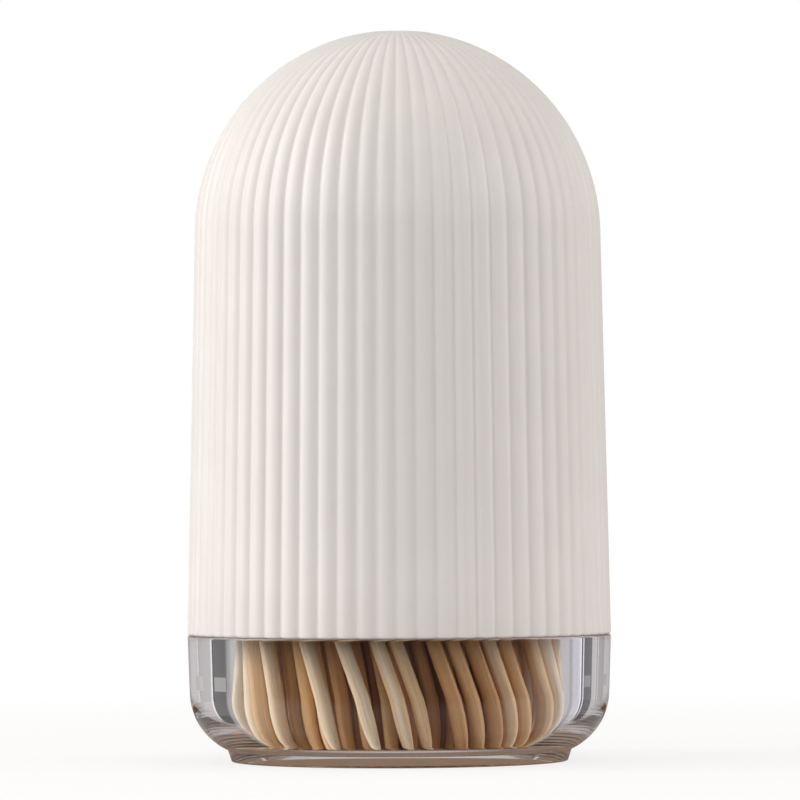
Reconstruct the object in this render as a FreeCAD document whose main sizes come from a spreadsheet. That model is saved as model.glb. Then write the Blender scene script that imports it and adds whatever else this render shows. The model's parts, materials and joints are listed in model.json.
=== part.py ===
"""Toothpick dispenser: a ribbed dome cover that lifts off a thick clear cup of standing toothpicks.

The frame is in millimetres, +Z up, with the origin at the centre of the foot on the table.
"""
import FreeCAD, Part
import functools
import math
import os
import random
import re

import Sketcher

Vector = FreeCAD.Vector
UP = Vector(0, 0, 1)

# Driving dimensions: alias, value and what it is
SIZES = (
    ("rim_radius", 30.0, "crests of the ribs at the cover's rim, flush with the cup's shoulder"),
    ("seam_height", 17.9, "height of the rim, where the cover sits on the cup"),
    ("side_narrowing", 1.2, "how far the cover's side narrows from its rim to the dome's spring"),
    ("spring_headroom", 6.2, "how far above an upright toothpick's point the dome springs"),
    ("dome_rise", 29.15, "rise of the dome's ellipse above its spring"),
    ("crown_radius", 4.4, "smooth flat disc that cuts off the apex"),
    ("rib_count", 66, "ribs round the cover"),
    ("groove_depth", 0.5, "depth of the grooves between the ribs"),
    ("crown_groove_depth", 0.1, "what is left of that depth at the crown"),
    ("cover_wall", 1.4, "wall of the cover behind the grooves"),
    ("rim_round", 0.4, "rounding of the ribs' lower ends"),
    ("lead_in", 0.4, "chamfer inside the rim that finds the neck"),
    ("overrun", 1.0, "how far the cover's bore is cut past its rim"),
    ("shoulder_round", 0.3, "rounding of the cup's shoulder under the seam"),
    ("side_draft", 1.9, "draft of the cup's side in degrees"),
    ("corner_radius", 9.1, "large outer corner of the cup"),
    ("corner_lift", 0.85, "how far that corner's whole circle would stay above the table"),
    ("foot_height", 1.65, "height of the foot ring"),
    ("foot_narrowing", 0.5, "how far the foot ring narrows towards the table"),
    ("foot_ring_width", 2.4, "face that the cup stands on"),
    ("foot_recess", 0.6, "hollow under the cup, inside the foot ring"),
    ("floor_height", 3.2, "floor of the cavity"),
    ("neck_wall", 2.85, "wall of the neck at the cavity's mouth"),
    ("cavity_narrowing", 0.3, "how far the cavity narrows from its mouth to its lower corner"),
    ("cavity_corner", 0.4, "rounding between the cavity's floor and wall"),
    ("neck_height", 10.0, "how far the neck stands up inside the cover"),
    ("neck_round", 0.8, "rounding of the neck's top edges"),
    ("lid_clearance", 0.25, "gap between the neck and the cover's inside"),
    ("pick_length", 65.0, "toothpick from point to point"),
    ("pick_radius", 1.0, "toothpick's stem"),
    ("pick_point_length", 4.5, "length of each point"),
    ("pick_tip_radius", 0.4, "blunt end of a point"),
    ("pick_gap", 0.12, "least gap between two toothpicks"),
    ("wall_gap", 0.3, "least gap between a toothpick's stem and the cup or the cover"),
    ("rest_gap", 0.12, "gap between a toothpick's point and the cup"),
    ("bundle_rise", 14.0, "how far the loose toothpicks may rise under the closed cover"),
)
ALIASES = {alias for alias, _, _ in SIZES}

# The bundle: rings of toothpicks that lean round the axis, the outer one nearly as far as the cover allows
OUTER_LEAN_SHARE = -0.97
WAIST_SHARE = 0.342
INWARD_LEAN_SHARE = 0.74
RING_STEP_SHARE = 1.45
SLOT_SHARES = (1.16, 1.4, 1.8, 2.4, 2.9)
OPEN_SLOT_SHARES = (0.03, 0.09, 0.16, 0.21, 0.27, 0.34, 0.40, 0.46,
                    0.53, 0.60, 0.625, 0.66, 0.70, 0.76, 0.86, 0.94)
SIDE_PLAY_SHARE = 0.45
INWARD_PLAY_SHARE = 0.2
OUTWARD_PLAY_SHARE = 0.1
LEAN_PLAY_SHARE = 0.03
FALL_PLAY_SHARE = 0.02
SETTLING_TRIES = 6
PLACING_TRIES = 200
PLACING_SEED = 7
TOOTHPICK_NODE_COUNT = 58

# The ribbed loft: its steps, and how far its first crest lies past +X in shares of a rib
RIM_STEPS = 3
DOME_STEPS = 10
CROWN_FADE_POWER = 8
RIB_TURN_SHARE = 0.88

doc = FreeCAD.newDocument("toothpick_dispenser")
sheet = doc.addObject("Spreadsheet::Sheet", "sizes")
for row, (alias, value, note) in enumerate(SIZES, start=1):
    sheet.set(f"A{row}", note)
    sheet.set(f"B{row}", str(value))
    sheet.setAlias(f"B{row}", alias)
doc.recompute()


@functools.cache
def size(expression):
    """A value worked out from the sheet's sizes."""
    return float(sheet.evalExpression(expression))


def from_sheet(expression):
    """The same expression, as an object outside the sheet names its sizes."""
    def qualify(word):
        return f"sizes.{word.group()}" if word.group() in ALIASES else word.group()
    return re.sub(r"[a-z_]+", qualify, expression)


# Sizes that follow from the driving ones
SPRING_RADIUS = "(rim_radius - side_narrowing)"
SPRING_HEIGHT = "(floor_height + pick_length + spring_headroom)"
RIM_TAPER = f"(side_narrowing / ({SPRING_HEIGHT} - seam_height))"
INNER_RIM_RADIUS = "(rim_radius - groove_depth - cover_wall)"
INNER_SPRING_RADIUS = f"({SPRING_RADIUS} - groove_depth - cover_wall)"
INNER_DOME_RISE = "(dome_rise - groove_depth - cover_wall)"
CORNER_HEIGHT = "(corner_radius + corner_lift)"
CORNER_CENTRE = (f"(rim_radius - (seam_height - {CORNER_HEIGHT}) * tan(side_draft * 1deg)"
                 " - corner_radius / cos(side_draft * 1deg))")
FOOT_TOP_RADIUS = f"({CORNER_CENTRE} + sqrt(corner_radius^2 - ({CORNER_HEIGHT} - foot_height)^2))"
NECK_RADIUS = f"({INNER_RIM_RADIUS} - lid_clearance)"
NECK_TOP = "(seam_height + neck_height)"
NECK_TOP_RADIUS = f"({NECK_RADIUS} - {RIM_TAPER} * (neck_height - neck_round))"
MOUTH_RADIUS = f"({NECK_TOP_RADIUS} - neck_wall)"
CAVITY_RADIUS = f"({MOUTH_RADIUS} - cavity_narrowing)"
WAIST_HEIGHT = f"(floor_height + {WAIST_SHARE} * pick_length)"


def arc_between(start, end, radius):
    """Arc from start to end with its centre on the left, or on the right for a negative radius."""
    chord = end - start
    left = Vector(-chord.y, chord.x, 0).normalize()
    reach = math.sqrt(radius ** 2 - (chord.Length / 2) ** 2)
    centre = start + chord / 2 + left * math.copysign(reach, radius)
    first, last = (start, end) if radius > 0 else (end, start)
    angles = [math.atan2(point.y - centre.y, point.x - centre.x) for point in (first, last)]
    if angles[1] < angles[0]:
        angles[1] += 2 * math.pi
    return Part.ArcOfCircle(Part.Circle(centre, UP, abs(radius)), *angles)


def hold(sketch, name, kind, point, expression, axis):
    """Hold a sketch point at a size from the sheet, or on the axis where the size is zero."""
    if expression == "0":
        sketch.addConstraint(Sketcher.Constraint("PointOnObject", *point, axis))
        return
    index = sketch.addConstraint(Sketcher.Constraint(kind, -1, 1, *point, size(expression)))
    sketch.renameConstraint(index, name)
    sketch.setExpression(f"Constraints.{name}", from_sheet(expression))


def turned_body(name, outline):
    """A body turned about +Z from an outline of (radius, height, radius of the arc that follows)."""
    body = doc.addObject("PartDesign::Body", name)
    sketch = body.newObject("Sketcher::SketchObject", f"{name}_outline")
    plane = next(feature for feature in body.Origin.OriginFeatures if feature.Role == "XZ_Plane")
    sketch.AttachmentSupport = [(plane, "")]
    sketch.MapMode = "FlatFace"
    corners = [Vector(size(radius), size(height), 0) for radius, height, _ in outline]
    starts = []
    ends = []
    for number, (_, _, arc) in enumerate(outline):
        start = corners[number]
        end = corners[(number + 1) % len(corners)]
        if arc is None:
            sketch.addGeometry(Part.LineSegment(start, end), False)
            order = (1, 2)
        else:
            sketch.addGeometry(arc_between(start, end, size(arc)), False)
            order = (1, 2) if size(arc) > 0 else (2, 1)
        starts.append((number, order[0]))
        ends.append((number, order[1]))
    for number, (radius, height, arc) in enumerate(outline):
        sketch.addConstraint(Sketcher.Constraint("Coincident", *ends[number - 1], *starts[number]))
        hold(sketch, f"radius_{number}", "DistanceX", starts[number], radius, -2)
        hold(sketch, f"height_{number}", "DistanceY", starts[number], height, -1)
        if arc is not None:
            index = sketch.addConstraint(Sketcher.Constraint("Radius", number, abs(size(arc))))
            sketch.renameConstraint(index, f"round_{number}")
            sketch.setExpression(f"Constraints.round_{number}", from_sheet(f"abs({arc})"))
    doc.recompute()
    turn = body.newObject("PartDesign::Revolution", f"{name}_turned")
    turn.Profile = sketch
    turn.ReferenceAxis = (sketch, ["V_Axis"])
    turn.Angle = 360
    sketch.Visibility = False
    return body


# Clear cup: foot ring, rounded outer corner, shoulder under the cover, neck and cavity
base_cup = turned_body("base_cup", (
    ("0", "foot_recess", None),
    (f"{FOOT_TOP_RADIUS} - foot_narrowing - foot_ring_width", "foot_recess", None),
    (f"{FOOT_TOP_RADIUS} - foot_narrowing - foot_ring_width", "0", None),
    (f"{FOOT_TOP_RADIUS} - foot_narrowing", "0", None),
    (FOOT_TOP_RADIUS, "foot_height", "corner_radius"),
    (f"{CORNER_CENTRE} + corner_radius * cos(side_draft * 1deg)",
     f"{CORNER_HEIGHT} - corner_radius * sin(side_draft * 1deg)", None),
    ("rim_radius - shoulder_round * tan(side_draft * 1deg)", "seam_height - shoulder_round",
     "shoulder_round"),
    ("rim_radius - shoulder_round", "seam_height", None),
    (NECK_RADIUS, "seam_height", None),
    (NECK_TOP_RADIUS, f"{NECK_TOP} - neck_round", "neck_round"),
    (f"{NECK_TOP_RADIUS} - neck_round", NECK_TOP, None),
    (f"{MOUTH_RADIUS} + neck_round", NECK_TOP, "neck_round"),
    (MOUTH_RADIUS, f"{NECK_TOP} - neck_round", None),
    (CAVITY_RADIUS, "floor_height + cavity_corner", "-cavity_corner"),
    (f"{CAVITY_RADIUS} - cavity_corner", "floor_height", None),
    ("0", "floor_height", None),
))


def ribbed_outline(radius, depth, height):
    """Closed wire of one convex arc for each rib, between the bottoms of its two grooves."""
    count = int(size("rib_count"))
    half = math.pi / count

    def place(reach, angle):
        return Vector(reach * math.cos(angle), reach * math.sin(angle), height)

    arcs = []
    for number in range(count):
        crest = 2 * half * (number + RIB_TURN_SHARE)
        arcs.append(Part.Arc(place(radius - depth, crest - half), place(radius, crest),
                             place(radius - depth, crest + half)).toShape())
    return Part.Wire(arcs)


def ribbed_form():
    """The outside of the cover: rounded rim, tapering side and dome, all ribbed."""
    depth = size("groove_depth")
    round_off = size("rim_round")
    rim = []
    for step in range(RIM_STEPS + 1):
        turn = math.pi / 2 * step / RIM_STEPS
        rim.append(ribbed_outline(size("rim_radius") - round_off * (1 - math.sin(turn)), depth,
                                  size("seam_height") + round_off * (1 - math.cos(turn))))
    spring = ribbed_outline(size(SPRING_RADIUS), depth, size(SPRING_HEIGHT))
    dome = [spring]
    crown_turn = math.acos(size(f"crown_radius / {SPRING_RADIUS}"))
    for step in range(1, DOME_STEPS + 1):
        share = step / DOME_STEPS
        turn = crown_turn * share
        dome.append(ribbed_outline(size(SPRING_RADIUS) * math.cos(turn),
                                   depth + (size("crown_groove_depth") - depth) * share ** CROWN_FADE_POWER,
                                   size(SPRING_HEIGHT) + size("dome_rise") * math.sin(turn)))
    side = Part.makeLoft(rim + [spring], True, True)
    return side.fuse(Part.makeLoft(dome, True, False))


# Ribbed cover: its outside less a smooth inside
cover_outside = doc.addObject("Part::Feature", "cover_outside")
cover_outside.Shape = ribbed_form()

inside_bore = doc.addObject("Part::Cone", "cover_inside_bore")
inside_bore.setExpression("Radius1", from_sheet(f"{INNER_RIM_RADIUS} + {RIM_TAPER} * overrun"))
inside_bore.setExpression("Radius2", from_sheet(INNER_SPRING_RADIUS))
inside_bore.setExpression("Height", from_sheet(f"{SPRING_HEIGHT} - seam_height + overrun"))
inside_bore.setExpression("Placement.Base.z", from_sheet("seam_height - overrun"))

inside_dome = doc.addObject("Part::Ellipsoid", "cover_inside_dome")
inside_dome.setExpression("Radius1", from_sheet(INNER_DOME_RISE))
inside_dome.setExpression("Radius2", from_sheet(INNER_SPRING_RADIUS))
inside_dome.setExpression("Radius3", from_sheet(INNER_SPRING_RADIUS))
inside_dome.Angle1 = 0
inside_dome.setExpression("Placement.Base.z", from_sheet(SPRING_HEIGHT))

rim_chamfer = doc.addObject("Part::Cone", "cover_rim_chamfer")
rim_chamfer.setExpression("Radius1", from_sheet(f"{INNER_RIM_RADIUS} + lead_in"))
rim_chamfer.setExpression("Radius2", from_sheet(INNER_RIM_RADIUS))
rim_chamfer.setExpression("Height", from_sheet("lead_in"))
rim_chamfer.setExpression("Placement.Base.z", from_sheet("seam_height"))

cover_inside = doc.addObject("Part::MultiFuse", "cover_inside")
cover_inside.Shapes = [inside_bore, inside_dome, rim_chamfer]

cover_shell = doc.addObject("Part::Cut", "cover_shell")
cover_shell.Base = cover_outside
cover_shell.Tool = cover_inside

# Toothpick: a round stem with a blunted point at each end, standing on the origin
toothpick = turned_body("toothpick", (
    ("0", "0", None),
    ("pick_tip_radius", "0", None),
    ("pick_radius", "pick_point_length", None),
    ("pick_radius", "pick_length - pick_point_length", None),
    ("pick_tip_radius", "pick_length", None),
    ("0", "pick_length", None),
))


def cover_inside_radius(height):
    """Radius of the closed cover's inside at a height."""
    over = height - size(SPRING_HEIGHT)
    if over <= 0:
        return size(INNER_SPRING_RADIUS) - size(RIM_TAPER) * over
    share = min(over / size(INNER_DOME_RISE), 1)
    return size(INNER_SPRING_RADIUS) * math.sqrt(1 - share ** 2)


class Lean:
    """The straight line that a toothpick stands along."""

    def __init__(self, angle, reach, lean, fall):
        outward = Vector(math.cos(angle), math.sin(angle), 0)
        along = Vector(-math.sin(angle), math.cos(angle), 0)
        self.waist = outward * reach
        self.slope = along * lean + outward * fall
        self.steepness = math.hypot(1, self.slope.Length)

    def at(self, height):
        return self.waist + self.slope * (height - size(WAIST_HEIGHT)) + UP * height

    def reach(self, height):
        point = self.at(height)
        return math.hypot(point.x, point.y)

    def foot(self):
        """Where the point stands on the cavity's floor, or on its rounded corner."""
        corner = size("cavity_corner")
        height = size("floor_height")
        for _ in range(SETTLING_TRIES):
            over = self.reach(height) + size("pick_tip_radius") - (size(CAVITY_RADIUS) - corner)
            over = min(max(over, 0), corner)
            height = size("floor_height") + corner - math.sqrt(corner ** 2 - over ** 2)
        return self.at(height + size("rest_gap") + size("pick_tip_radius") * self.slope.Length)

    def head(self):
        return self.at(self.foot().z + size("pick_length") / self.steepness)

    def fits(self):
        """Whether it keeps its gap to the cup, and to the cover over the bundle's whole rise."""
        gap = size("wall_gap")
        stem = size("pick_radius") * self.steepness + gap
        tip = size("pick_tip_radius") + gap
        stem_foot = self.foot().z + size("pick_point_length") / self.steepness
        stem_head = self.head().z - size("pick_point_length") / self.steepness
        head = self.head().z
        rise = size("bundle_rise")
        return (self.reach(stem_foot) + stem < size(CAVITY_RADIUS)
                and self.reach(size(NECK_TOP)) + stem < size(CAVITY_RADIUS)
                and self.reach(stem_head) + stem < cover_inside_radius(stem_head + rise)
                and self.reach(head) + tip < cover_inside_radius(head + rise))

    def clears(self, other):
        """Whether two toothpicks keep their gap at the height where they come nearest."""
        apart = self.waist - other.waist
        drift = self.slope - other.slope
        rise = -apart.dot(drift) / drift.dot(drift) if drift.Length > 0 else 0
        rise = min(max(rise, -size(WAIST_HEIGHT)), size(f"pick_length - {WAIST_HEIGHT}"))
        wide = 2 * size("pick_radius") * max(self.steepness, other.steepness)
        return (apart + drift * rise).Length > wide + size("pick_gap")


def outer_ring():
    """Reach at the waist and lean of the outer toothpicks, held in by the cup's wall and by the cover."""
    below = size(f"{WAIST_HEIGHT} - floor_height")
    most_lean = 0
    for _ in range(SETTLING_TRIES):
        steepness = math.hypot(1, most_lean)
        stem_reach = size(f"{CAVITY_RADIUS} - wall_gap") - size("pick_radius") * steepness
        head = size("floor_height") + size("pick_length") / steepness
        head_reach = cover_inside_radius(head + size("bundle_rise")) - size("pick_tip_radius + wall_gap")
        above = head - size(WAIST_HEIGHT)
        most_lean = math.sqrt(max(head_reach ** 2 - stem_reach ** 2, 0) / (above ** 2 - below ** 2))
    lean = OUTER_LEAN_SHARE * most_lean
    return math.sqrt(stem_reach ** 2 - (lean * below) ** 2), lean


def standing_toothpicks():
    """Lines of the toothpicks, ring by ring from the outside, each a little off its even place."""
    draw = random.Random(PLACING_SEED)
    diameter = 2 * size("pick_radius")
    outer_reach, outer_lean = outer_ring()
    reach = outer_reach
    standing = []
    for ring, slot_share in enumerate(SLOT_SHARES):
        lean = outer_lean * (reach / outer_reach) * INWARD_LEAN_SHARE ** ring
        play = diameter * SIDE_PLAY_SHARE * (slot_share - 1)
        slots = int(2 * math.pi * reach / (diameter * slot_share * math.hypot(1, lean)))
        open_slots = {int(share * slots) for share in OPEN_SLOT_SHARES} if ring == 0 else ()
        for slot in range(slots):
            if slot in open_slots:
                continue
            for _ in range(PLACING_TRIES):
                line = Lean(2 * math.pi * slot / slots + draw.uniform(-play, play) / reach,
                            reach + diameter * draw.uniform(-INWARD_PLAY_SHARE, OUTWARD_PLAY_SHARE),
                            lean + draw.uniform(-LEAN_PLAY_SHARE, LEAN_PLAY_SHARE),
                            draw.uniform(-FALL_PLAY_SHARE, FALL_PLAY_SHARE))
                if line.fits() and all(line.clears(other) for _, other in standing):
                    standing.append((ring, line))
                    break
        reach -= diameter * RING_STEP_SHARE
    return standing


def stand(line, name):
    """A linked copy of the toothpick along its line."""
    copy = doc.addObject("App::Link", name)
    copy.LinkedObject = toothpick
    copy.Placement = FreeCAD.Placement(line.foot(), FreeCAD.Rotation(UP, line.slope + UP))
    return copy


# Outer toothpicks have a node each, and inner ones share the nodes that are left
standing = standing_toothpicks()
outer = [line for ring, line in standing if ring == 0]
inner = [line for ring, line in standing if ring > 0]
shared_nodes = min(TOOTHPICK_NODE_COUNT - len(outer), len(inner))
groups = [[line] for line in outer]
for number in range(shared_nodes):
    first = len(inner) * number // shared_nodes
    last = len(inner) * (number + 1) // shared_nodes
    groups.append(inner[first:last])

toothpick_nodes = []
for number, lines in enumerate(groups, start=1):
    node = doc.addObject("Part::Compound", f"toothpick_{number:02d}")
    node.Links = [stand(line, f"stand_{number:02d}_{place}") for place, line in enumerate(lines)]
    toothpick_nodes.append(node)

doc.recompute()

subparts = [base_cup, cover_shell] + toothpick_nodes
for item in doc.Objects:
    if "Invalid" in item.State or "Error" in item.State:
        raise RuntimeError(f"{item.Label} did not build: {item.State}")
for item in subparts:
    if item.Shape.isNull() or not item.Shape.isValid():
        raise RuntimeError(f"{item.Label} has no valid shape")

os.makedirs("parts", exist_ok=True)
for item in subparts:
    item.Shape.exportStep(f"parts/{item.Label}.step")
print(f"{len(subparts)} nodes, {len(outer)} outer and {len(inner)} inner toothpicks")
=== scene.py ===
"""Toothpick dispenser: the looks of its ribbed cover, clear cup and toothpicks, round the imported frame.

Every length is in metres and every piece stands where the frame has it.
"""

import json
import math
import random

import bmesh
import bpy
from bpy.props import FloatProperty, FloatVectorProperty, IntProperty, PointerProperty
from mathutils import Matrix, Quaternion, Vector

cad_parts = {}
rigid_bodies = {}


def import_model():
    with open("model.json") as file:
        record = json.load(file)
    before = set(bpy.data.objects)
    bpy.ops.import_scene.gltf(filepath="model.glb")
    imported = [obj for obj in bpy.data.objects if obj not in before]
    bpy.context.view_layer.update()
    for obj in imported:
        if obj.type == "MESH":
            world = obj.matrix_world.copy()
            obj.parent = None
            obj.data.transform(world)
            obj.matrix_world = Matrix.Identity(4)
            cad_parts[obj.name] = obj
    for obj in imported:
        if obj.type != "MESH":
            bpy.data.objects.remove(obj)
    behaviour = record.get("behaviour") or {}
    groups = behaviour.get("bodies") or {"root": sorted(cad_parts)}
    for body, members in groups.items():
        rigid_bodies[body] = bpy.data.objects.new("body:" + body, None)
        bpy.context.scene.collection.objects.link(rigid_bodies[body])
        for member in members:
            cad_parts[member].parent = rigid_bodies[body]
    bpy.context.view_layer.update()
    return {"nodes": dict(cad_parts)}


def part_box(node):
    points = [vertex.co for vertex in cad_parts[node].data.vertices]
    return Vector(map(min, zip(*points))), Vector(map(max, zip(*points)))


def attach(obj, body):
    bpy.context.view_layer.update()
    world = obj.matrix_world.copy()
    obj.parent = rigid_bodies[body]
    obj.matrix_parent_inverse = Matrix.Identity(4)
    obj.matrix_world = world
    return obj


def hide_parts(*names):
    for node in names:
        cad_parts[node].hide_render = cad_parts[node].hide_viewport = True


bl_info = {
    "name": "Toothpick Dispenser",
    "version": (1, 0, 0),
    "blender": (4, 5, 0),
    "location": "View3D > Sidebar > Dispenser",
    "description": "Models a table jar with a ribbed dome cover, a clear cup and its toothpicks",
    "category": "Add Mesh",
}

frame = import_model()
SEAM_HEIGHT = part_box("cover_shell")[0].z
CROWN_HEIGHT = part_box("cover_shell")[1].z
NECK_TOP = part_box("base_cup")[1].z
TOOTHPICK_NODES = [name for name in frame["nodes"] if name.startswith("toothpick_")]

MM = 0.001
MERGE_DISTANCE = 0.001 * MM
SENSOR_WIDTH = 36.0


def linear(code):
    """Linear colour of an sRGB hex code such as #f2f0ed."""
    shares = [int(code[at:at + 2], 16) / 255 for at in (1, 3, 5)]
    return tuple(share / 12.92 if share <= 0.04045 else ((share + 0.055) / 1.055) ** 2.4 for share in shares)


def length(name, millimetres, description):
    """A length that the user may change."""
    return FloatProperty(name=name, description=description, default=millimetres * MM, min=0, unit="LENGTH",
                         subtype="DISTANCE", precision=5)


def colour(name, code, description):
    """A colour that the user may change."""
    return FloatVectorProperty(name=name, description=description, default=linear(code), min=0, max=1, size=3,
                               subtype="COLOR")


class CoverSettings(bpy.types.PropertyGroup):
    rim_radius: length("Rim radius", 30.0, "Crests of the ribs at the rim")
    spring_radius: length("Spring radius", 28.8, "Crests of the ribs where the dome springs from the side")
    spring_height: length("Spring height", 74.4, "Height where the dome springs")
    crown_radius: length("Crown radius", 4.4, "Smooth disc at the top")
    rim_round: length("Rim rounding", 0.4, "Rounding of the ribs' lower ends")
    groove_depth: length("Groove depth", 0.5, "Depth of the grooves between the ribs")
    crown_groove_depth: length("Crown groove depth", 0.1, "What is left of that depth at the crown")
    groove_round: length("Groove rounding", 0.2, "Half the width of the rounded bottom of a groove")
    wall: length("Wall", 1.4, "Wall behind the grooves")
    lead_in: length("Lead-in", 0.4, "Chamfer inside the rim")
    ribs: IntProperty(name="Ribs", description="Ribs round the cover", default=66, min=3)
    plastic: colour("Plastic", "#f3eee8", "Moulded plastic of the cover")


class CupSettings(bpy.types.PropertyGroup):
    shoulder_radius: length("Shoulder radius", 30.0, "Shoulder under the cover's rim")
    shoulder_round: length("Shoulder rounding", 0.3, "Rounding of the shoulder's edge")
    corner_radius: length("Corner radius", 9.1, "Large outer corner")
    corner_lift: length("Corner lift", 0.85, "How far that corner's whole circle would stay above the table")
    foot_height: length("Foot height", 1.65, "Height of the foot ring")
    foot_taper: length("Foot taper", 0.5, "How far the foot ring narrows towards the table")
    foot_ring_width: length("Foot ring width", 2.4, "Face that the cup stands on")
    foot_recess: length("Foot recess", 0.6, "Hollow under the cup")
    foot_round: length("Foot rounding", 0.2, "Rounding of the foot ring's edges")
    neck_radius: length("Neck radius", 27.85, "Outside of the neck at the shoulder")
    neck_taper: length("Neck taper", 0.2, "How far the neck narrows towards its top")
    neck_round: length("Neck rounding", 0.8, "Rounding of the neck's top edges")
    mouth_radius: length("Mouth radius", 24.82, "Cavity at its mouth")
    cavity_radius: length("Cavity radius", 24.52, "Cavity just above its lower corner")
    cavity_corner: length("Cavity corner", 0.4, "Rounding between the cavity's floor and wall")
    floor_height: length("Floor height", 3.2, "Floor of the cavity")
    draft: FloatProperty(name="Draft", description="Draft of the cup's side", default=math.radians(1.9),
                         subtype="ANGLE")
    plastic: colour("Plastic", "#f7f7f8", "Clear plastic of the cup")


class ToothpickSettings(bpy.types.PropertyGroup):
    radius: length("Radius", 1.0, "Stem of a toothpick")
    taper: length("Taper", 4.5, "Length of each point")
    tip_radius: length("Tip radius", 0.4, "Blunt end of a point")
    bundle_radius: length("Bundle radius", 22.0, "Outermost toothpicks half-way up")
    bow: length("Bow", 0.1, "Most that a toothpick bends away from a straight line")
    pale_wood: colour("Pale wood", "#fdf1d9", "Lightest toothpicks")
    tan_wood: colour("Tan wood", "#e6ba80", "Toothpicks of a middle tone")
    # Brown is partly painted shade, given to toothpicks deep in the bundle and towards its middle
    brown_wood: colour("Brown wood", "#b06c34", "Darkest toothpicks, deep in the bundle")
    fibre: colour("Fibre", "#a06a35", "Darker fibres along the grain")


class StudioSettings(bpy.types.PropertyGroup):
    camera_distance: length("Camera distance", 830.0, "Camera in front of the cup's axis")
    camera_height: length("Camera height", 38.4, "Camera above the table")
    aim_height: length("Aim height", 51.1, "How high the camera aims")
    aim_side: length("Aim to the side", 0.25, "How far right of the axis the camera aims")
    lens: FloatProperty(name="Lens", description="Focal length in millimetres", default=263.3, min=1)
    roll: FloatProperty(name="Roll", description="Clockwise turn of the camera", default=math.radians(0.26),
                        subtype="ANGLE")
    paper: colour("Paper", "#f4f3f2", "Matt white paper under the jar")
    shaded_paper: colour("Shaded paper", "#bcb4b3", "The paper behind the jar, as the clear cup shows it")
    # Painted shadow under the foot, with a painted reflection of the wood, as the clear cup shows it
    painted_foot_shadow: colour("Contact paper", "#86705f",
                          "The paper under the jar's foot, brown with the wood's shade")
    surround: colour("Surround", "#c8c3c3", "Grey studio behind the jar and beside it")
    dark_side: colour("Dark side", "#4a4848", "Unlit side of the studio, behind the camera")


def add_node(tree, kind, values=None, links=None, **properties):
    """Add a node, set its properties and sockets and link other nodes' sockets to it."""
    node = tree.nodes.new(kind)
    for name, value in properties.items():
        setattr(node, name, value)
    for socket, value in (values or {}).items():
        node.inputs[socket].default_value = value
    for socket, source in (links or {}).items():
        tree.links.new(source, node.inputs[socket])
    return node


def new_material(name):
    """An empty node material and its tree."""
    material = bpy.data.materials.new(name)
    material.use_nodes = True
    material.node_tree.nodes.clear()
    return material, material.node_tree


def satin_abs(settings):
    """White ABS from a spark-eroded mould: an even satin with a fine sparkle where light grazes it."""
    material, tree = new_material("satin_abs")
    place = add_node(tree, "ShaderNodeTexCoord").outputs["Object"]
    # Grains of the mould's texture are about 0.16 mm apart, just coarse enough to show
    grain = add_node(tree, "ShaderNodeTexNoise", {"Scale": 1 / (0.16 * MM), "Detail": 2.0, "Roughness": 0.6},
                     {"Vector": place})
    cloud = add_node(tree, "ShaderNodeTexNoise", {"Scale": 1 / (9 * MM), "Detail": 3.0}, {"Vector": place})
    tint = add_node(tree, "ShaderNodeMapRange",
                    {"From Min": 0.3, "From Max": 0.7, "To Min": 0.97, "To Max": 1.0},
                    {"Value": cloud.outputs["Fac"]})
    shade = add_node(tree, "ShaderNodeMix", {0: 1.0, 6: (*settings.plastic, 1)}, {7: tint.outputs["Result"]},
                     data_type="RGBA", blend_type="MULTIPLY")
    gloss = add_node(tree, "ShaderNodeMapRange",
                     {"From Min": 0.3, "From Max": 0.7, "To Min": 0.36, "To Max": 0.5},
                     {"Value": grain.outputs["Fac"]})
    bump = add_node(tree, "ShaderNodeBump", {"Strength": 0.35, "Distance": 0.03 * MM},
                    {"Height": grain.outputs["Fac"]})
    surface = add_node(tree, "ShaderNodeBsdfPrincipled", {"IOR": 1.53},
                       {"Base Color": shade.outputs[2], "Roughness": gloss.outputs["Result"],
                        "Normal": bump.outputs["Normal"]})
    add_node(tree, "ShaderNodeOutputMaterial", links={"Surface": surface.outputs["BSDF"]})
    return material


def clear_polystyrene(settings):
    """Crystal polystyrene from a polished mould: clear, glossy and strongly refracting."""
    material, tree = new_material("clear_polystyrene")
    surface = add_node(tree, "ShaderNodeBsdfPrincipled",
                       {"Base Color": (*settings.plastic, 1), "Roughness": 0.0, "IOR": 1.59,
                        "Transmission Weight": 1.0})
    add_node(tree, "ShaderNodeOutputMaterial", links={"Surface": surface.outputs["BSDF"]})
    return material


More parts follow.
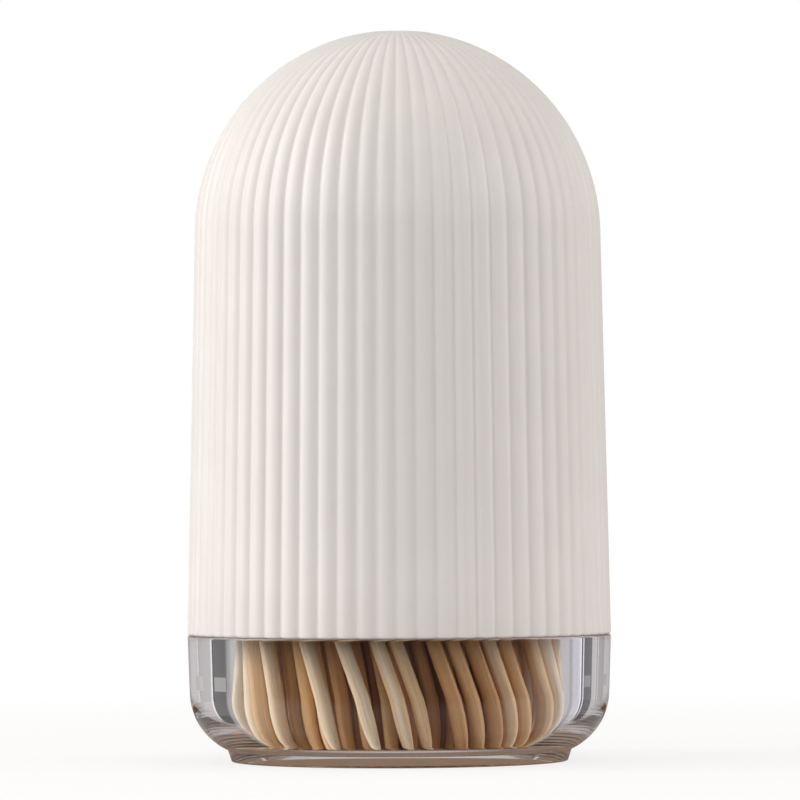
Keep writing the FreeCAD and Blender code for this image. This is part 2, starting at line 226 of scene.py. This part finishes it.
def turned_birch(settings):
    """Bare turned birch: pale cream to tan, with long fibres and a dull, slightly furry surface."""
    material, tree = new_material("turned_birch")
    grain = add_node(tree, "ShaderNodeAttribute", attribute_name="grain").outputs["Vector"]
    # The tone holds each toothpick's chance tone and its painted shade
    tone = add_node(tree, "ShaderNodeAttribute", attribute_name="tone").outputs["Fac"]
    # Fibres are about 0.2 mm wide and 9 mm long
    along = add_node(tree, "ShaderNodeMapping", {"Scale": (1 / (0.2 * MM), 1 / (0.2 * MM), 1 / (9 * MM))},
                     {"Vector": grain})
    fibres = add_node(tree, "ShaderNodeTexNoise", {"Scale": 1.0, "Detail": 4.0, "Roughness": 0.65},
                      {"Vector": along.outputs["Vector"]})
    # Growth bands are about 0.9 mm wide and run nearly the whole length
    banding = add_node(tree, "ShaderNodeMapping", {"Scale": (1 / (0.9 * MM), 1 / (0.9 * MM), 1 / (40 * MM))},
                       {"Vector": grain})
    bands = add_node(tree, "ShaderNodeTexNoise", {"Scale": 1.0, "Detail": 2.0},
                     {"Vector": banding.outputs["Vector"]})
    band_tone = add_node(tree, "ShaderNodeMapRange",
                         {"From Min": 0.35, "From Max": 0.65, "To Min": -0.12, "To Max": 0.12},
                         {"Value": bands.outputs["Fac"]})
    whole_tone = add_node(tree, "ShaderNodeMath", links={0: tone, 1: band_tone.outputs["Result"]},
                          operation="ADD", use_clamp=True)
    light_share = add_node(tree, "ShaderNodeMapRange", {"From Min": 0.0, "From Max": 0.5},
                           {"Value": whole_tone.outputs["Value"]})
    light_wood = add_node(tree, "ShaderNodeMix", {6: (*settings.pale_wood, 1), 7: (*settings.tan_wood, 1)},
                          {0: light_share.outputs["Result"]}, data_type="RGBA")
    dark_share = add_node(tree, "ShaderNodeMapRange", {"From Min": 0.5, "From Max": 1.0},
                          {"Value": whole_tone.outputs["Value"]})
    wood = add_node(tree, "ShaderNodeMix", {7: (*settings.brown_wood, 1)},
                    {0: dark_share.outputs["Result"], 6: light_wood.outputs[2]}, data_type="RGBA")
    dark = add_node(tree, "ShaderNodeMapRange",
                    {"From Min": 0.5, "From Max": 0.8, "To Min": 0.0, "To Max": 0.55},
                    {"Value": fibres.outputs["Fac"]})
    streaked = add_node(tree, "ShaderNodeMix", {7: (*settings.fibre, 1)},
                        {0: dark.outputs["Result"], 6: wood.outputs[2]}, data_type="RGBA")
    bump = add_node(tree, "ShaderNodeBump", {"Strength": 0.5, "Distance": 0.04 * MM},
                    {"Height": fibres.outputs["Fac"]})
    surface = add_node(tree, "ShaderNodeBsdfPrincipled", {"Roughness": 0.6, "IOR": 1.45},
                       {"Base Color": streaked.outputs[2], "Normal": bump.outputs["Normal"]})
    add_node(tree, "ShaderNodeOutputMaterial", links={"Surface": surface.outputs["BSDF"]})
    return material


class Outline:
    """Half the outline of a turned piece, drawn in the XZ plane from its last point on."""

    def __init__(self, x, z, layers=()):
        self.bm = bmesh.new()
        self.layers = {name: self.bm.verts.layers.float.new(name) for name in layers}
        self.tip = bmesh.ops.create_vert(self.bm, co=(x, 0, z))["vert"][0]

    def line(self, x, z, steps=1):
        """A straight stretch to a point."""
        move = (Vector((x, 0, z)) - self.tip.co) / steps
        for _ in range(steps):
            self.tip = bmesh.ops.extrude_vert_indiv(self.bm, verts=[self.tip])["verts"][0]
            bmesh.ops.translate(self.bm, verts=[self.tip], vec=move)

    def held_line(self, x, z, hold=0.1 * MM):
        """A straight stretch with a point just inside each end, which keeps its shading flat."""
        start = self.tip.co.copy()
        end = Vector((x, 0, z))
        step = (end - start).normalized() * hold
        for point in (start + step, end - step, end):
            self.line(point.x, point.z)

    def arc(self, x, z, degrees, steps):
        """A round stretch about a centre, anticlockwise for positive degrees."""
        known = set(self.bm.verts)
        spun = bmesh.ops.spin(self.bm, geom=[self.tip], cent=(x, 0, z), axis=(0, -1, 0),
                              angle=math.radians(degrees), steps=steps)
        self.tip = spun["geom_last"][0]
        return [vert for vert in self.bm.verts if vert not in known]

    def turned(self, steps):
        """The closed piece, turned about the Z axis."""
        bmesh.ops.spin(self.bm, geom=self.bm.verts[:] + self.bm.edges[:], cent=(0, 0, 0), axis=(0, 0, 1),
                       angle=2 * math.pi, steps=steps, use_merge=True)
        bmesh.ops.remove_doubles(self.bm, verts=self.bm.verts, dist=MERGE_DISTANCE)
        bmesh.ops.recalc_face_normals(self.bm, faces=self.bm.faces)
        return self.bm


def finished_piece(bm, name, material, body, nodes):
    """A smooth mesh object that stands for CAD nodes and rides on their body."""
    mesh = bpy.data.meshes.new(name)
    bm.to_mesh(mesh)
    bm.free()
    mesh.shade_smooth()
    mesh.materials.append(material)
    piece = bpy.data.objects.new(name, mesh)
    bpy.context.scene.collection.objects.link(piece)
    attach(piece, body)
    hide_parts(*nodes)
    return piece


# Turn of the first rib from +X, as a share of the way to the next rib
RIB_TURN_SHARE = 0.88
# The grooves keep their depth over most of the dome and fade only close to the crown
CROWN_FADE_POWER = 8
# Flat middle of the crown's disc, as a share of its radius
CROWN_FLAT_SHARE = 0.9
# Where the rim's smooth underside ends, as a share of the grooves' depth behind their crests
UNDERSIDE_SHARE = 1.2
STEPS_PER_RIB = 14
INNER_DOME_STEPS = 16
DOME_STEPS = 44
INNER_SIDE_STEPS = 5
SIDE_STEPS = 8
ROUND_STEPS = 5


def rib_reach(radius, depth, turn, settings):
    """How far out a rib's surface lies at a turn from its crest: a round arc between rounded grooves."""
    half_pitch = math.pi / settings.ribs
    half_chord = (radius - depth) * math.sin(half_pitch)
    rise = radius - (radius - depth) * math.cos(half_pitch)
    arc_radius = (half_chord ** 2 + rise ** 2) / (2 * rise)
    centre = radius - arc_radius
    reach = centre * math.cos(turn) + math.sqrt(arc_radius ** 2 - (centre * math.sin(turn)) ** 2)
    rounding = settings.groove_round * min(1, radius / settings.rim_radius)
    into_groove = max(rounding - (half_pitch - abs(turn)) * radius, 0)
    slope = half_chord / (arc_radius - rise)
    return reach + slope * into_groove ** 2 / (2 * rounding)


class RibbedCoverOperator(bpy.types.Operator):
    """Model the ribbed dome cover"""
    bl_idname = "dispenser.add_cover"
    bl_label = "Add Ribbed Cover"

    def outline(self, cover):
        """Inside of the dome, down the bore, out along the rim, up the ribs and over the dome."""
        behind = cover.groove_depth + cover.wall
        inner_rim = cover.rim_radius - behind
        inner_spring = cover.spring_radius - behind
        crown_turn = math.acos(cover.crown_radius / cover.spring_radius)
        rise = (CROWN_HEIGHT - cover.spring_height) / math.sin(crown_turn)

        outline = Outline(0, cover.spring_height + inner_spring, ["groove_depth"])
        top = outline.tip
        inner_dome = outline.arc(0, cover.spring_height, -90, INNER_DOME_STEPS)
        bmesh.ops.scale(outline.bm, verts=[top] + inner_dome, vec=(1, 1, (rise - behind) / inner_spring),
                        space=Matrix.Translation((0, 0, -cover.spring_height)))
        outline.line(inner_rim, SEAM_HEIGHT + cover.lead_in, INNER_SIDE_STEPS)
        outline.line(inner_rim + cover.lead_in, SEAM_HEIGHT)
        underside_end = cover.rim_radius - cover.rim_round - UNDERSIDE_SHARE * cover.groove_depth
        outline.held_line(underside_end, SEAM_HEIGHT)
        smooth = set(outline.bm.verts)

        outline.line(cover.rim_radius - cover.rim_round, SEAM_HEIGHT)
        outline.arc(cover.rim_radius - cover.rim_round, SEAM_HEIGHT + cover.rim_round, 90, ROUND_STEPS)
        outline.line(cover.spring_radius, cover.spring_height, SIDE_STEPS)
        dome = outline.arc(0, cover.spring_height, math.degrees(crown_turn), DOME_STEPS)
        bmesh.ops.scale(outline.bm, verts=dome, vec=(1, 1, rise / cover.spring_radius),
                        space=Matrix.Translation((0, 0, -cover.spring_height)))
        ribbed = [vert for vert in outline.bm.verts if vert not in smooth]
        outline.line(cover.crown_radius * CROWN_FLAT_SHARE, CROWN_HEIGHT)
        outline.line(0, CROWN_HEIGHT, 2)
        depth = outline.layers["groove_depth"]
        for vert in ribbed:
            up = max(vert.co.z - cover.spring_height, 0) / rise
            fade = (math.asin(min(up, 1)) / crown_turn) ** CROWN_FADE_POWER
            vert[depth] = cover.groove_depth + (cover.crown_groove_depth - cover.groove_depth) * fade
        return outline

    def execute(self, context):
        cover = context.scene.dispenser_cover
        outline = self.outline(cover)
        bm = outline.bm
        depth = outline.layers["groove_depth"]
        pitch = 2 * math.pi / cover.ribs
        # One rib from groove to groove, which is then repeated round the axis
        bmesh.ops.rotate(bm, verts=bm.verts, cent=(0, 0, 0), matrix=Matrix.Rotation(-pitch / 2, 3, "Z"))
        bmesh.ops.spin(bm, geom=bm.verts[:] + bm.edges[:], cent=(0, 0, 0), axis=(0, 0, 1), angle=pitch,
                       steps=STEPS_PER_RIB)
        for vert in bm.verts:
            if vert[depth] > 0:
                radius = math.hypot(vert.co.x, vert.co.y)
                turn = math.atan2(vert.co.y, vert.co.x)
                vert.co.xy *= rib_reach(radius, vert[depth], turn, cover) / radius
        bmesh.ops.rotate(bm, verts=bm.verts, cent=(0, 0, 0),
                         matrix=Matrix.Rotation(RIB_TURN_SHARE * pitch, 3, "Z"))
        bmesh.ops.spin(bm, geom=bm.verts[:] + bm.edges[:] + bm.faces[:], cent=(0, 0, 0), axis=(0, 0, 1),
                       angle=2 * math.pi - pitch, steps=cover.ribs - 1, use_duplicate=True)
        bmesh.ops.remove_doubles(bm, verts=bm.verts, dist=MERGE_DISTANCE)
        bmesh.ops.recalc_face_normals(bm, faces=bm.faces)
        finished_piece(bm, "ribbed_cover", satin_abs(cover), "cover", ["cover_shell"])
        return {"FINISHED"}


CUP_STEPS = 256
SMALL_ROUND_STEPS = 4
NECK_ROUND_STEPS = 8
CORNER_STEPS = 28
CAVITY_CORNER_STEPS = 6
# The foot's lower edge is rounded until it meets the slanting side of the foot
FOOT_ROUND_SWEEP = 66


class ClearCupOperator(bpy.types.Operator):
    """Model the clear cup"""
    bl_idname = "dispenser.add_cup"
    bl_label = "Add Clear Cup"

    def outline(self, cup):
        """Under the foot, up the outside to the shoulder, over the neck and down the cavity to its floor."""
        corner_height = cup.corner_radius + cup.corner_lift
        corner_centre = (cup.shoulder_radius - (SEAM_HEIGHT - corner_height) * math.tan(cup.draft)
                         - cup.corner_radius / math.cos(cup.draft))
        corner_drop = corner_height - cup.foot_height
        foot_top = corner_centre + math.sqrt(cup.corner_radius ** 2 - corner_drop ** 2)
        foot_outside = foot_top - cup.foot_taper
        foot_inside = foot_outside - cup.foot_ring_width
        small = cup.foot_round
        neck_top_radius = cup.neck_radius - cup.neck_taper

        outline = Outline(0, cup.foot_recess)
        outline.held_line(foot_inside - small, cup.foot_recess)
        outline.arc(foot_inside - small, cup.foot_recess - small, -90, SMALL_ROUND_STEPS)
        outline.line(foot_inside, small)
        outline.arc(foot_inside + small, small, 90, SMALL_ROUND_STEPS)
        outline.held_line(foot_outside - small, 0)
        outline.arc(foot_outside - small, small, FOOT_ROUND_SWEEP, SMALL_ROUND_STEPS)
        outline.held_line(foot_top, cup.foot_height)
        sweep = math.degrees(math.asin(corner_drop / cup.corner_radius) - cup.draft)
        outline.arc(corner_centre, corner_height, sweep, CORNER_STEPS)
        shoulder_edge = cup.shoulder_radius - cup.shoulder_round
        outline.held_line(cup.shoulder_radius - cup.shoulder_round * math.tan(cup.draft),
                          SEAM_HEIGHT - cup.shoulder_round)
        outline.arc(shoulder_edge, SEAM_HEIGHT - cup.shoulder_round, 90, ROUND_STEPS)
        outline.held_line(cup.neck_radius + small, SEAM_HEIGHT)
        outline.arc(cup.neck_radius + small, SEAM_HEIGHT + small, -90, SMALL_ROUND_STEPS)
        outline.held_line(neck_top_radius, NECK_TOP - cup.neck_round)
        outline.arc(neck_top_radius - cup.neck_round, NECK_TOP - cup.neck_round, 90, NECK_ROUND_STEPS)
        outline.held_line(cup.mouth_radius + cup.neck_round, NECK_TOP)
        outline.arc(cup.mouth_radius + cup.neck_round, NECK_TOP - cup.neck_round, 90, NECK_ROUND_STEPS)
        outline.held_line(cup.cavity_radius, cup.floor_height + cup.cavity_corner)
        outline.arc(cup.cavity_radius - cup.cavity_corner, cup.floor_height + cup.cavity_corner, -90,
                    CAVITY_CORNER_STEPS)
        outline.held_line(0, cup.floor_height)
        return outline

    def execute(self, context):
        cup = context.scene.dispenser_cup
        bm = self.outline(cup).turned(CUP_STEPS)
        piece = finished_piece(bm, "clear_cup", clear_polystyrene(cup), "cup", ["base_cup"])
        # Light that falls on the toothpicks comes through the clear wall
        piece.visible_shadow = False
        return {"FINISHED"}


TOOTHPICK_STEPS = 14
TOOTHPICK_ROWS = 16
# Rings of a point as shares of its length, and how full its sides are: 1 would be a straight cone
POINT_SHARES = (0.15, 0.3, 0.5, 0.75, 1.0)
POINT_POWER = 1.7
TIP_SWEEP = 75
TIP_STEPS = 3
# The narrower way across a toothpick that isn't quite round, at the least, as a share of the wider way
ROUNDNESS = 0.9
# Tones run from 0, pale, to 1, brown: a chance tone, plus painted shade that makes the wood browner in the
# depth and towards the middle
TONE_SEED = 11
TONE_MEAN = 0.1
TONE_SPREAD = 0.14
DEPTH_PAINTED_SHADE = 1.6
MIDDLE_PAINTED_SHADE = 0.5


def toothpick_ends(node):
    """Foot and head of each toothpick in a CAD node, from the blunt ends of its separate solids."""
    solids = bmesh.new()
    solids.from_mesh(frame["nodes"][node].data)
    bmesh.ops.remove_doubles(solids, verts=solids.verts, dist=MERGE_DISTANCE)
    waiting = set(solids.verts)
    ends = []
    while waiting:
        group = set()
        edge = [waiting.pop()]
        while edge:
            vert = edge.pop()
            group.add(vert)
            near = {link.other_vert(vert) for link in vert.link_edges} & waiting
            waiting -= near
            edge.extend(near)
        group = sorted(group, key=lambda vert: vert.co.z)
        blunt = 0.3 * MM
        foot = [vert.co for vert in group if vert.co.z < group[0].co.z + blunt]
        head = [vert.co for vert in group if vert.co.z > group[-1].co.z - blunt]
        ends.append((sum(foot, Vector()) / len(foot), sum(head, Vector()) / len(head)))
    solids.free()
    return sorted(ends, key=lambda pair: math.atan2(pair[0].y, pair[0].x))


def turned_toothpick(picks, reach):
    """One toothpick along +Z from the origin: a round stem with a softly blunted point at each end."""
    blunt = picks.tip_radius / 2
    widening = picks.radius - picks.tip_radius
    point = [(share, 1 - (1 - share) ** POINT_POWER) for share in POINT_SHARES]
    outline = Outline(0, 0)
    outline.line(picks.tip_radius - blunt, 0)
    outline.arc(picks.tip_radius - blunt, blunt, TIP_SWEEP, TIP_STEPS)
    for share, width in point:
        outline.line(picks.tip_radius + widening * width, picks.taper * share)
    outline.line(picks.radius, reach - picks.taper, TOOTHPICK_ROWS)
    for share, width in reversed(point):
        outline.line(picks.tip_radius + widening * width, reach - picks.taper * share)
    outline.line(picks.tip_radius, reach - blunt)
    outline.arc(picks.tip_radius - blunt, reach - blunt, TIP_SWEEP, TIP_STEPS)
    outline.line(0, reach)
    return outline.turned(TOOTHPICK_STEPS)


class ToothpicksOperator(bpy.types.Operator):
    """Model the toothpicks that stand in the cup"""
    bl_idname = "dispenser.add_toothpicks"
    bl_label = "Add Toothpicks"

    def execute(self, context):
        picks = context.scene.dispenser_toothpicks
        wood = turned_birch(picks)
        draw = random.Random(TONE_SEED)
        foot, head = toothpick_ends(TOOTHPICK_NODES[0])[0]
        template = bpy.data.meshes.new("toothpick_template")
        turned_toothpick(picks, (head - foot).length).to_mesh(template)
        for node in TOOTHPICK_NODES:
            bm = bmesh.new()
            grain = bm.verts.layers.float_vector.new("grain")
            tone = bm.verts.layers.float.new("tone")
            for foot, head in toothpick_ends(node):
                first = len(bm.verts)
                bm.from_mesh(template)
                bm.verts.ensure_lookup_table()
                verts = bm.verts[first:]
                reach = (head - foot).length
                waist = (foot + head) / 2
                # Painted shade: toothpicks deep in the bundle and towards its middle are given a browner tone
                depth = 1 - math.hypot(waist.x, waist.y) / picks.bundle_radius
                middle = 1 - abs(waist.x) / picks.bundle_radius
                tone_and_painted_shade = draw.gauss(TONE_MEAN, TONE_SPREAD) + DEPTH_PAINTED_SHADE * depth + MIDDLE_PAINTED_SHADE * middle
                shade = min(max(tone_and_painted_shade, 0), 1)
                offset = Vector([draw.uniform(0, 1) for _ in range(3)])
                bow = draw.uniform(-1, 1) * picks.bow
                flat = draw.uniform(ROUNDNESS, 1)
                for vert in verts:
                    vert[grain] = vert.co + offset
                    vert[tone] = shade
                    vert.co.x = vert.co.x * flat + bow * math.sin(math.pi * vert.co.z / reach)
                roll = Quaternion((0, 0, 1), draw.uniform(0, 2 * math.pi))
                turn = (head - foot).to_track_quat("Z", "Y") @ roll
                stand = Matrix.Translation(foot) @ turn.to_matrix().to_4x4()
                bmesh.ops.transform(bm, verts=verts, matrix=stand)
            finished_piece(bm, f"wood_{node}", wood, "toothpicks", [node])
        bpy.data.meshes.remove(template)
        return {"FINISHED"}


PAPER_RADIUS = 3.0
PAPER_SEGMENTS = 96
PAPER_REFLECTANCE = (0.24, 0.238, 0.236, 1)
PAPER_GLOW = 0.86
# Where each change of the paper starts and ends: distances from the jar's axis, and depths behind it
WHITE_FADE = (40 * MM, 300 * MM)
CONTACT_SHADE = (24 * MM, 45 * MM)
FRONT_SHADE = (-90 * MM, -20 * MM)
# The same for the studio round the jar, as the depth of a way that points out from it
SURROUND_SHADE = (-0.7, -0.1)


def smooth_step(tree, value, start, end):
    """A share that goes smoothly from 0 at the start to 1 at the end."""
    step = add_node(tree, "ShaderNodeMapRange", {"From Min": start, "From Max": end}, {"Value": value},
                    interpolation_type="SMOOTHSTEP")
    return step.outputs["Result"]


def white_paper(settings):
    """Matt white paper that fades to white for the camera, as a sweep in a studio does.

    In the clear cup it glows with painted shade: dark in front of the jar, shaded behind it, and brown under
    the foot, a painted shadow with a painted reflection of the wood.
    """
    material, tree = new_material("white_paper")
    place = add_node(tree, "ShaderNodeTexCoord").outputs["Object"]
    away = add_node(tree, "ShaderNodeVectorMath", links={0: place}, operation="LENGTH").outputs["Value"]
    paper = add_node(tree, "ShaderNodeBsdfDiffuse", {"Color": PAPER_REFLECTANCE})
    lit = add_node(tree, "ShaderNodeEmission", {"Color": (*settings.paper, 1), "Strength": PAPER_GLOW})
    near = add_node(tree, "ShaderNodeAddShader", links={0: paper.outputs["BSDF"], 1: lit.outputs["Emission"]})
    white = add_node(tree, "ShaderNodeEmission", {"Strength": 1.0})
    faded = add_node(tree, "ShaderNodeMixShader", links={0: smooth_step(tree, away, *WHITE_FADE),
                                                         1: near.outputs["Shader"],
                                                         2: white.outputs["Emission"]})
    depth = add_node(tree, "ShaderNodeSeparateXYZ", links={"Vector": place}).outputs["Y"]
    shade = add_node(tree, "ShaderNodeMix", {6: (*settings.dark_side, 1), 7: (*settings.shaded_paper, 1)},
                     {0: smooth_step(tree, depth, *FRONT_SHADE)}, data_type="RGBA")
    # Painted shadow and painted reflection of the wood: the paper under the foot is brown for all but the
    # camera
    under = add_node(tree, "ShaderNodeMix", {6: (*settings.painted_foot_shadow, 1)},
                     {0: smooth_step(tree, away, *CONTACT_SHADE), 7: shade.outputs[2]}, data_type="RGBA")
    shaded = add_node(tree, "ShaderNodeEmission", {"Strength": 1.0}, {"Color": under.outputs[2]})
    seen = add_node(tree, "ShaderNodeLightPath").outputs["Is Camera Ray"]
    blend = add_node(tree, "ShaderNodeMixShader", links={0: seen, 1: shaded.outputs["Emission"],
                                                         2: faded.outputs["Shader"]})
    add_node(tree, "ShaderNodeOutputMaterial", links={"Surface": blend.outputs["Shader"]})
    return material


def studio_surround(settings):
    """White behind the jar for the camera, and for all else a grey studio that is dark behind the camera."""
    world = bpy.data.worlds.new("studio_surround")
    world.use_nodes = True
    world.cycles.sampling_method = "NONE"
    tree = world.node_tree
    tree.nodes.clear()
    seen = add_node(tree, "ShaderNodeLightPath").outputs["Is Camera Ray"]
    way = add_node(tree, "ShaderNodeTexCoord").outputs["Generated"]
    depth = add_node(tree, "ShaderNodeSeparateXYZ", links={"Vector": way}).outputs["Y"]
    studio = add_node(tree, "ShaderNodeMix", {6: (*settings.dark_side, 1), 7: (*settings.surround, 1)},
                      {0: smooth_step(tree, depth, *SURROUND_SHADE)}, data_type="RGBA")
    shade = add_node(tree, "ShaderNodeMix", {7: (1, 1, 1, 1)}, {0: seen, 6: studio.outputs[2]},
                     data_type="RGBA")
    background = add_node(tree, "ShaderNodeBackground", links={"Color": shade.outputs[2]})
    add_node(tree, "ShaderNodeOutputWorld", links={"Surface": background.outputs["Background"]})
    return world


# Softboxes: name, place, aim, width and height in metres, power in watts, and the first words of the names of
# the pieces that they light. The clear cup shows none of them, only the cards, the paper and the grey studio.
SOFTBOXES = (
    ("left_softbox", (-0.85, 0.05, 0.25), (0, 0, 0.06), 0.4, 0.9, 4.6, ("ribbed_cover", "paper")),
    ("left_front_softbox", (-0.75, -0.65, 0.3), (0, 0, 0.06), 0.4, 0.8, 3.6, ("ribbed_cover", "paper")),
    ("front_fill", (0, -1.2, 0.35), (0, 0, 0.06), 0.6, 0.6, 3.6, ("ribbed_cover", "paper")),
    ("right_front_softbox", (0.75, -0.65, 0.3), (0, 0, 0.06), 0.4, 0.8, 2.4, ("ribbed_cover", "paper")),
    ("right_softbox", (0.85, 0.1, 0.25), (0, 0, 0.06), 0.3, 0.8, 1.9, ("ribbed_cover", "paper")),
    # The clear walls guide light round to the toothpicks, which these three stand in for
    ("left_glow", (-0.85, -0.1, 0.15), (0, 0, 0.01), 1.0, 0.8, 17.0, ("wood_",)),
    ("right_glow", (0.85, -0.1, 0.15), (0, 0, 0.01), 1.0, 0.8, 12.0, ("wood_",)),
    ("front_glow", (-0.1, -1.0, 0.1), (0, 0, 0.01), 1.4, 0.5, 3.2, ("wood_",)),
)

# Cards round the back of the jar, seen only in its clear plastic: name, colour, distance from the axis in
# millimetres, first and last turn from straight behind in degrees, below zero on the left, and bottom and top
# in millimetres above the table
CARDS = (
    ("left_flag", "#565658", 60, -84.0, -65.5, 3.6, 32.0),
    ("left_flag_gap", "#a5a3a0", 31, -107.5, -99.2, 10.2, 12.2),
    ("left_edge_light", "#ffffff", 60, -65.5, -63.6, 3.6, 32.0),
    ("left_bounce", "#cfcbcb", 60, -63.6, -48.0, 3.6, 32.0),
    ("right_bounce", "#d3cfd8", 60, 72.5, 90.0, 3.6, 32.0),
    ("right_edge_light", "#ffffff", 60, 71.3, 72.5, 3.6, 32.0),
    ("right_thin_flag", "#4c4a4c", 60, 69.6, 71.3, 3.6, 32.0),
    ("right_thin_light", "#f6f4f6", 60, 68.6, 69.6, 3.6, 32.0),
    ("right_flag", "#49474a", 60, 59.0, 68.6, 3.6, 32.0),
    ("right_flag_gap", "#8a8887", 31, 94.3, 99.6, 10.6, 12.2),
    ("right_margin", "#c1bdbd", 60, 14.0, 59.0, 3.6, 32.0),
    # The foot card is painted shade and a painted reflection of the wood: the shaded paper under the jar as
    # the foot shows it
    ("foot_shade_card", "#8d7360", 60, -70.0, 70.0, 0.2, 3.6),
)
CARD_SWEEP = math.radians(3)


class StudioOperator(bpy.types.Operator):
    """Set up the paper, the lights and the camera"""
    bl_idname = "dispenser.add_studio"
    bl_label = "Add Studio"

    def execute(self, context):
        studio = context.scene.dispenser_studio
        scene = context.scene
        scene.view_settings.view_transform = "Standard"
        # Light is reflected many times inside the cup's thick wall before it leaves
        scene.cycles.max_bounces = 32
        scene.cycles.glossy_bounces = 24
        scene.cycles.transmission_bounces = 24
        scene.world = studio_surround(studio)
        self.add_paper(scene, studio)
        for box in SOFTBOXES:
            self.add_softbox(scene, *box)
        for card in CARDS:
            self.add_card(scene, *card)
        self.add_camera(scene, studio)
        return {"FINISHED"}

    def add_paper(self, scene, studio):
        bm = bmesh.new()
        bmesh.ops.create_circle(bm, cap_ends=True, segments=PAPER_SEGMENTS, radius=PAPER_RADIUS)
        mesh = bpy.data.meshes.new("paper")
        bm.to_mesh(mesh)
        bm.free()
        mesh.materials.append(white_paper(studio))
        paper = bpy.data.objects.new("paper", mesh)
        scene.collection.objects.link(paper)

    def add_softbox(self, scene, name, place, aim, width, height, power, lit_names):
        light = bpy.data.lights.new(name, "AREA")
        light.shape = "RECTANGLE"
        light.size = width
        light.size_y = height
        light.energy = power
        softbox = bpy.data.objects.new(name, light)
        softbox.location = place
        softbox.rotation_euler = (Vector(aim) - Vector(place)).to_track_quat("-Z", "Y").to_euler()
        softbox.visible_camera = False
        lit = bpy.data.collections.new(f"lit_by_{name}")
        for piece in scene.objects:
            if piece.name.startswith(lit_names):
                lit.objects.link(piece)
        softbox.light_linking.receiver_collection = lit
        scene.collection.objects.link(softbox)

    def add_card(self, scene, name, code, distance, first, last, bottom, top):
        material, tree = new_material(name)
        face = add_node(tree, "ShaderNodeEmission", {"Color": (*linear(code), 1), "Strength": 1.0})
        add_node(tree, "ShaderNodeOutputMaterial", links={"Surface": face.outputs["Emission"]})
        bm = bmesh.new()
        edge = [bmesh.ops.create_vert(bm, co=(0, distance * MM, height * MM))["vert"][0]
                for height in (bottom, top)]
        bmesh.ops.contextual_create(bm, geom=edge)
        bmesh.ops.rotate(bm, verts=edge, cent=(0, 0, 0), matrix=Matrix.Rotation(math.radians(-first), 3, "Z"))
        turn = math.radians(last - first)
        bmesh.ops.spin(bm, geom=bm.verts[:] + bm.edges[:], cent=(0, 0, 0), axis=(0, 0, -1), angle=turn,
                       steps=math.ceil(turn / CARD_SWEEP))
        mesh = bpy.data.meshes.new(name)
        bm.to_mesh(mesh)
        bm.free()
        mesh.materials.append(material)
        card = bpy.data.objects.new(name, mesh)
        card.visible_camera = False
        card.visible_diffuse = False
        card.visible_shadow = False
        scene.collection.objects.link(card)

    def add_camera(self, scene, studio):
        lens = bpy.data.cameras.new("camera")
        lens.sensor_width = SENSOR_WIDTH
        lens.lens = studio.lens
        camera = bpy.data.objects.new("camera", lens)
        camera.location = (0, -studio.camera_distance, studio.camera_height)
        aim = Vector((studio.aim_side, 0, studio.aim_height)) - camera.location
        roll = Quaternion((0, 0, 1), -studio.roll)
        camera.rotation_euler = (aim.to_track_quat("-Z", "Y") @ roll).to_euler()
        scene.collection.objects.link(camera)
        scene.camera = camera


class DispenserPanel(bpy.types.Panel):
    """Sizes, colours and buttons of the toothpick dispenser"""
    bl_idname = "VIEW3D_PT_dispenser"
    bl_label = "Toothpick Dispenser"
    bl_space_type = "VIEW_3D"
    bl_region_type = "UI"
    bl_category = "Dispenser"

    def draw(self, context):
        for operator, settings in PARTS:
            box = self.layout.box()
            box.operator(operator.bl_idname)
            owner = getattr(context.scene, settings)
            for name in owner.__annotations__:
                box.prop(owner, name)


PARTS = (
    (RibbedCoverOperator, "dispenser_cover"),
    (ClearCupOperator, "dispenser_cup"),
    (ToothpicksOperator, "dispenser_toothpicks"),
    (StudioOperator, "dispenser_studio"),
)
SETTINGS = {
    "dispenser_cover": CoverSettings,
    "dispenser_cup": CupSettings,
    "dispenser_toothpicks": ToothpickSettings,
    "dispenser_studio": StudioSettings,
}
CLASSES = (*SETTINGS.values(), *(operator for operator, _ in PARTS), DispenserPanel)


def register():
    for item in CLASSES:
        bpy.utils.register_class(item)
    for name, settings in SETTINGS.items():
        setattr(bpy.types.Scene, name, PointerProperty(type=settings))


def unregister():
    for name in SETTINGS:
        delattr(bpy.types.Scene, name)
    for item in reversed(CLASSES):
        bpy.utils.unregister_class(item)


def main():
    register()
    bpy.ops.dispenser.add_cover()
    bpy.ops.dispenser.add_cup()
    bpy.ops.dispenser.add_toothpicks()
    bpy.ops.dispenser.add_studio()


if __name__ == "__main__":
    main()
